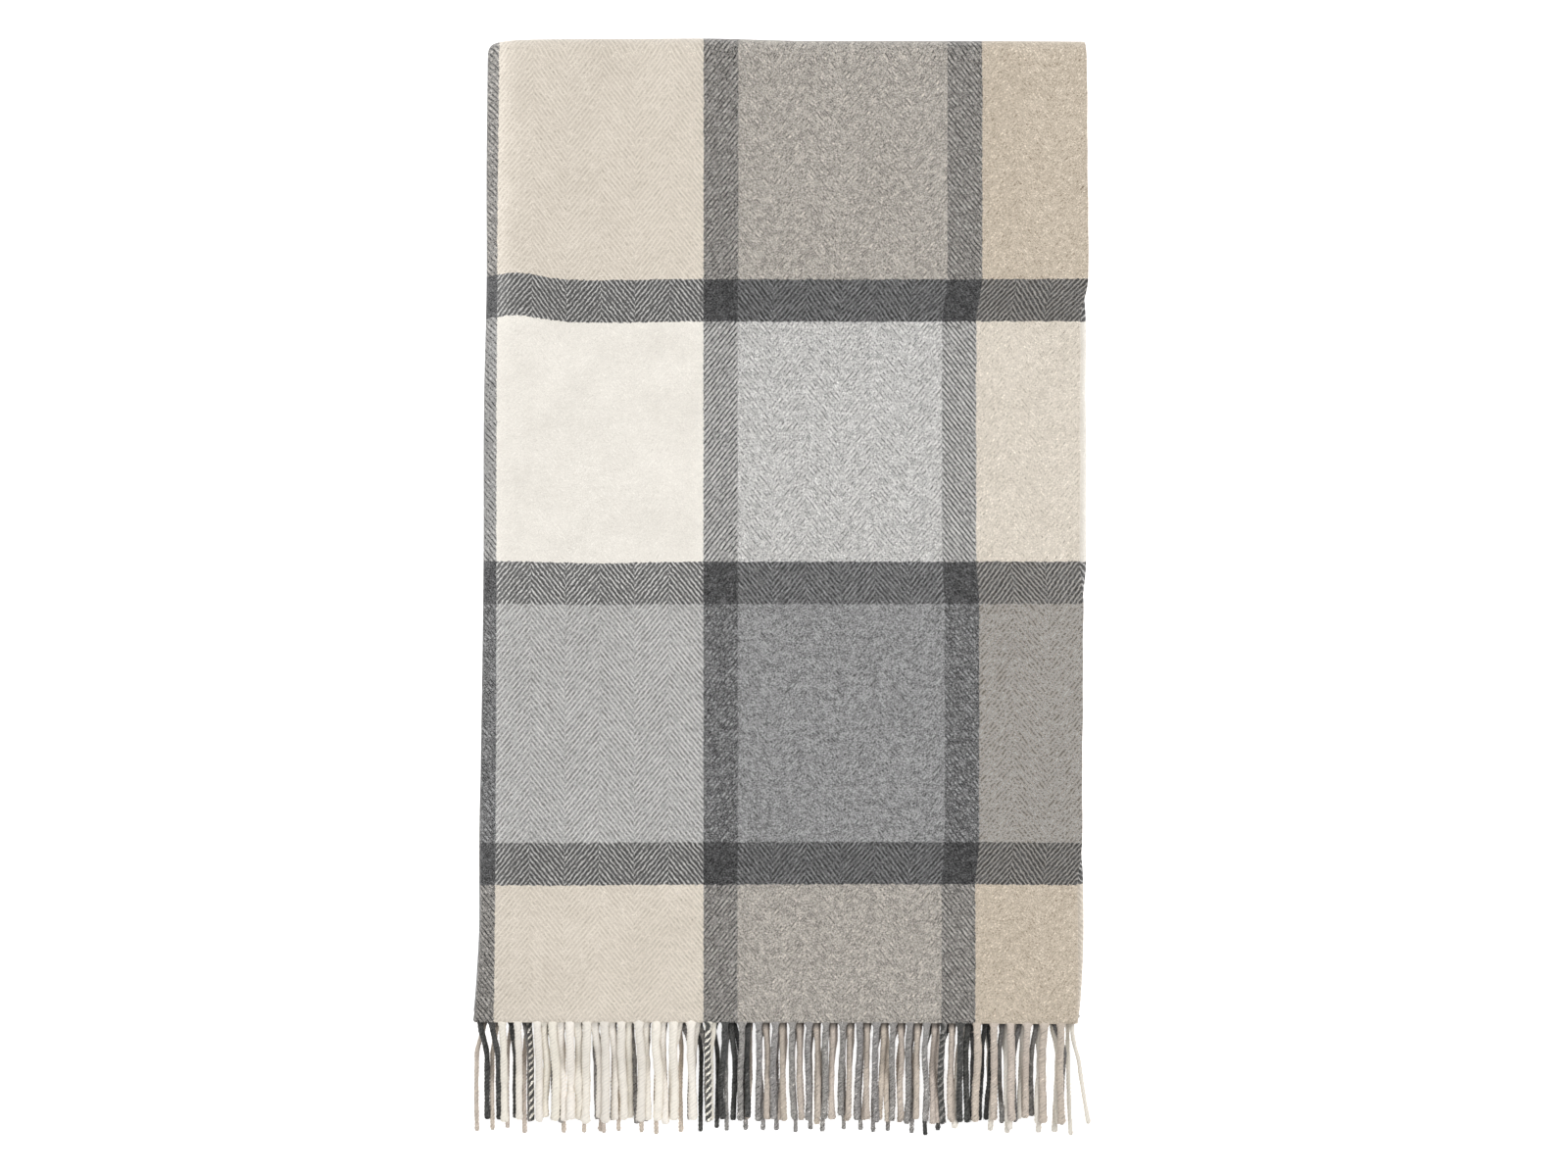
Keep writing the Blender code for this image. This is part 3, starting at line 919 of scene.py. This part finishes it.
def tassel_colour(yarns, leaf, x, coordinates):
    """The colour at each point of a tassel of two yarns. A lower leaf's has painted shade at its root, and
    under the beige panel all along.
    """
    tint = rng.uniform(0.97, 1.04) * np.array([1, 1, 1 + rng.uniform(-0.01, 0.01)])
    first, second = (np.array(FRINGE[yarn][0]) * tint for yarn in yarns)
    if yarns[0] != yarns[1]:
        second = second * 0.86
    blend = np.tile(STRAND, len(coordinates) // len(STRAND))[:, None]
    pale = yarns[0] == "cream"
    # Painted shade: a lower leaf's tassel is darkened near its root, where it lies in shadow under the top
    # leaf's header.
    painted_root_shade = (leaf > 1) * (0.20 if pale else 0.66) * (1 - smooth(0.0025, 0.0095, coordinates[:, :1]))
    colour = (first * (1 - blend) + second * blend) * (1 - painted_root_shade)
    # Painted shade: under the beige panel, a lower leaf's tassels lie deep between the top leaf's and are
    # darkened all along.
    if leaf > 1 and x > X_BEIGE:
        colour = colour * (0.94 if pale else 0.76)
    return colour


# For make_fringe: how much thinner each leaf's tassels are, how far those in a fold stay in, and the places
# round the right fold, where thin ones peek out.
LEAF_THICKNESS = (1, 0.90, 0.82, 0.70)
FOLD_IN = 0.0018
RIGHT_TURN = (2.975, 4.02)


def make_fringe(end, s, way, pile, length, drop, ceiling, ring_step, hang, thick):
    """Every tassel of one end of the cloth, gathered into one object for each warp colour. way is -1 for
    the front end and 1 for the tucked one. length and drop have one number for each leaf."""
    front = way < 0
    roots = tassel_roots(s)
    top_x = np.array([root[0] for leaf, _, _, root in roots if leaf == 1])
    placed = left_end_tassels(roots) if front else {}
    groups = {}
    lower_first = sorted(roots, key=lambda entry: (entry[3][2] - 0.004 * (entry[0] == 4), entry[1]))
    for leaf, u, place, root in lower_first:
        yarn = warp_yarn(u)
        side = math.copysign(1, root[0])
        root = root - np.array([FOLD_IN * side * (int(place) % 2), 0, 0])
        loose = smooth(0.05, 0.0, root[0] - X_LEFT) if front else 0
        own = float(np.min(np.where(root[0] >= top_x, root[0] - top_x, 9)) / TASSEL_PITCH) % 1
        shift = 0 if leaf == 1 else hang(leaf, place, root[0], own) * TASSEL_PITCH
        lean = rng.normal(0, 0.016)
        if front and leaf == 1 and yarn == "charcoal" and warp_yarn(u - TASSEL_PITCH) == "grey":
            shift = -0.0024
        wander = (rng.uniform(0.0002, 0.0007) + 0.0006 * loose, rng.uniform(60, 150), rng.uniform(0, 6.28))
        radius = rng.uniform(0.00215, 0.00240) * thick * FRINGE[yarn][1] * LEAF_THICKNESS[leaf - 1]
        full = 1.0
        if front and root[0] > X_BEIGE:
            radius *= {"beige": 1.12, "cream": 0.92}.get(yarn, 0.88)
        if u in placed:
            start, finish, full = placed[u]
            root = np.array([LEFT_OUTLINE + start, root[1], root[2]])
            shift, lean, wander = finish - start, 0, (0.0003, 80, 1.0)
            radius *= full
        if not front:
            # Inside the throw, they stay clear of the folds at its sides.
            lean = min(lean * side, 0.004 / length[0]) * side if abs(root[0]) < 0.15 else -0.03 * side
            shift = shift if abs(root[0]) < 0.16 else 0
        if front and RIGHT_TURN[0] < place < RIGHT_TURN[1]:
            lean, radius, shift, wander = 0.05 + 0.13 * (place > 3.5), 0.0014, 0, (0.0005, 60, 1.0)
        size = length[leaf - 1] + rng.normal(0, 0.0011)
        fall = drop[leaf - 1] * rng.uniform(0.9, 1.12)
        path = tassel_path(root, size, shift, lean, wander, pile, radius, fall, ceiling, way)
        root_width = TASSEL_PITCH * full * (0.66 if leaf == 1 else 0.98)
        phase = rng.uniform(0, 6.28)
        vertices, faces, coordinates = tassel_mesh(path, radius, root_width, phase, ring_step)
        # The tassel at the far edge of a charcoal stripe has two strands of the next yarn.
        reach = TASSEL_PITCH * 0.34 if leaf < 3 and yarn == "charcoal" else 0
        colour = tassel_colour((yarn, warp_yarn(u + reach)), leaf, root[0], coordinates)
        if front:
            hairs, hair_faces, source = hairs_on(vertices, path)
            colour = np.concatenate([colour, colour[source]])
            coordinates = np.concatenate([coordinates, coordinates[source]])
            vertices = np.concatenate([vertices, hairs])
            faces = faces + hair_faces
        group = groups.setdefault(yarn, {"vertices": [], "faces": [], "yarn": [], "place": [], "size": 0})
        group["faces"] += [[k + group["size"] for k in face] for face in faces]
        group["size"] += len(vertices)
        group["vertices"].append(vertices)
        group["yarn"].append(colour)
        group["place"].append(coordinates)
    made = {}
    for yarn, group in sorted(groups.items()):
        thing = new_object(f"{end}_tassels_{yarn}", np.concatenate(group["vertices"]), group["faces"])
        set_vectors(thing.data, "yarn", np.concatenate(group["yarn"]))
        set_vectors(thing.data, "along", np.concatenate(group["place"]))
        thing.data.materials.append(TASSEL_MATERIALS[yarn])
        made[yarn] = thing
    return made


# ---------- The throw ----------

CLOTH_MATERIAL = cloth_material()
TASSEL_MATERIALS = {yarn: tassel_material(f"twisted_{yarn}", YARN[yarn][1]) for yarn in YARN}

# The grids of the four pieces, finest where the throw shows. The face ends just past the outer left fold.
FACE_END = 2.04
FACE_Q = steps((0, 0.96, 116), (0.96, 1, 10), (1, 2, 18), (2, FACE_END, 5))
INNER_Q = steps((FACE_END, 3, 48), (3, 4, 12), (4, 5, 50), (5, 6, 12), (6, 7, 50))
ALL_Q = steps((0, 1, 50), (1, 2, 16), (2, 3, 50), (3, 4, 10), (4, 5, 50), (5, 6, 10), (6, 7, 50))
FINE_S = steps((0, S_TOP, 184), (S_TOP, S_BACK, 22), (S_BACK, S_BACK + SEAM, 4))
FRONT_S = steps((0, S_TOP, 80), (S_TOP, S_BACK, 22), (S_BACK, S_BACK + SEAM, 2))
BACK_S = steps((S_BACK + SEAM, S_BOTTOM, 76), (S_BOTTOM, S_TUCKED, 14), (S_TUCKED, S_TUCKED + SEAM, 2))
TUCKED_S = steps((S_TUCKED + SEAM, S_END, 68))

face = cloth_piece("front_face_cloth", FACE_Q, FINE_S, ("start", "first"), fuzzy=True)
inner = cloth_piece("front_inner_cloth", INNER_Q, FRONT_S, ("start", "last"))
back = cloth_piece("back_cloth", ALL_Q, BACK_S, ("first", "last"))
tucked = cloth_piece("tucked_cloth", ALL_Q, TUCKED_S, ("end", "first", "last"))
for piece in (face, inner, back, tucked):
    piece.data.materials.append(CLOTH_MATERIAL)

front_tassels = make_fringe(
    end="front",
    s=0.0,
    way=-1,
    pile=Pile((-0.21, -0.335), (0.21, -0.235), 0.0002),
    length=(0.0616, 0.0630, 0.0640, 0.0705),
    drop=(0.046, 0.042, 0.036, 0.030),
    ceiling=Z_TOP + 0.004,
    ring_step=0.00075,
    hang=hang_front,
    thick=1.0,
)
TUCKED_FLOOR = 3 * PITCH + THICK + 0.0002
tucked_tassels = make_fringe(
    end="tucked",
    s=S_END,
    way=1,
    pile=Pile((-0.20, 0.225), (0.20, 0.325), TUCKED_FLOOR),
    length=(0.0560, 0.0565, 0.0560, 0.0570),
    drop=(0.026, 0.022, 0.018, 0.014),
    ceiling=4 * PITCH + TUCKED_FLOOR + 0.0002,
    ring_step=0.0011,
    hang=hang_tucked,
    thick=0.68,
)

# ---------- What each piece rides on and stands for ----------

NODES = sorted(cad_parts)


def nodes_like(*starts):
    return [n for n in NODES if n.startswith(starts)]


for piece in (face, inner):
    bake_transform(piece)
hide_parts("front_leaf_1", "front_outer_left_fold", "top_fold_1")
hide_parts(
    "front_leaf_2", "front_leaf_3", "front_leaf_4", "front_inner_left_fold", "front_right_fold",
    "top_fold_2", "top_fold_3", "top_fold_4",
)
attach(back, "folded_base")
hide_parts(*nodes_like("back_", "bottom_fold_"))
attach(tucked, "folded_base")
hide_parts(*[n for n in nodes_like("tucked_") if "fringe" not in n])
for end, body, made in (("front", "front_panel", front_tassels), ("tucked", "folded_base", tucked_tassels)):
    for yarn, thing in made.items():
        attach(thing, body)
        if end == "front":
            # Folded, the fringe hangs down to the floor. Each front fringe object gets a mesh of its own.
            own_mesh(thing)
        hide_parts(*[n for n in nodes_like(f"{end}_fringe_") if n.endswith(yarn)])

# ---------- Floor, light and camera ----------


def make_floor():
    tree = Tree("pale_floor")
    place = tree.nodes.new("ShaderNodeNewGeometry").outputs["Position"]
    grain = tree.noise(place, 30.0, 3.0)
    shade = tree.times_plus(grain, 0.01, 0.90)
    tree.plug(tree.shader.inputs["Base Color"], tree.grey(shade))
    tree.shader.inputs["Roughness"].default_value = 0.9
    tree.shader.inputs["Specular IOR Level"].default_value = 0.1
    tree.shader.inputs["Emission Color"].default_value = (1, 1, 1, 1)
    tree.shader.inputs["Emission Strength"].default_value = 0.75
    half, level = 6.0, -0.0003
    corners = [(-half, -half, level), (half, -half, level), (half, half, level), (-half, half, level)]
    thing = new_object("floor", corners, [[0, 1, 2, 3]])
    thing.data.materials.append(tree.material)


def soft_light(name, size, power, place, aim):
    data = bpy.data.lights.new(name, "AREA")
    data.shape = "DISK"
    data.size = size
    data.energy = power
    lamp = bpy.data.objects.new(name, data)
    bpy.context.scene.collection.objects.link(lamp)
    lamp.location = place
    way = np.array(aim, float) - np.array(place, float)
    lamp.rotation_euler = (
        math.atan2(math.hypot(way[0], way[1]), -way[2]), 0, math.atan2(way[1], way[0]) - math.pi / 2
    )


def make_camera():
    """Straight above, from far enough that the picture is nearly free of perspective."""
    data = bpy.data.cameras.new("camera")
    data.sensor_width = 36
    data.lens = 90
    data.clip_end = 50
    seen_width = 0.9066
    away = seen_width * data.lens / data.sensor_width
    camera = bpy.data.objects.new("camera", data)
    bpy.context.scene.collection.objects.link(camera)
    camera.location = (0.0017, -0.0006, Z_TOP + away)
    bpy.context.scene.camera = camera


make_floor()
world = bpy.data.worlds.new("studio")
world.use_nodes = True
world.node_tree.nodes["Background"].inputs["Color"].default_value = (1, 1, 1, 1)
world.node_tree.nodes["Background"].inputs["Strength"].default_value = 0.49
bpy.context.scene.world = world
soft_light("key", 1.6, 38, (1.4, 0.6, 2.3), (0, 0, 0))
soft_light("fill", 2.2, 22, (-1.5, -0.6, 2.4), (0, 0, 0))
make_camera()
bpy.context.scene.view_settings.view_transform = "Standard"
bpy.context.scene.view_settings.look = "None"
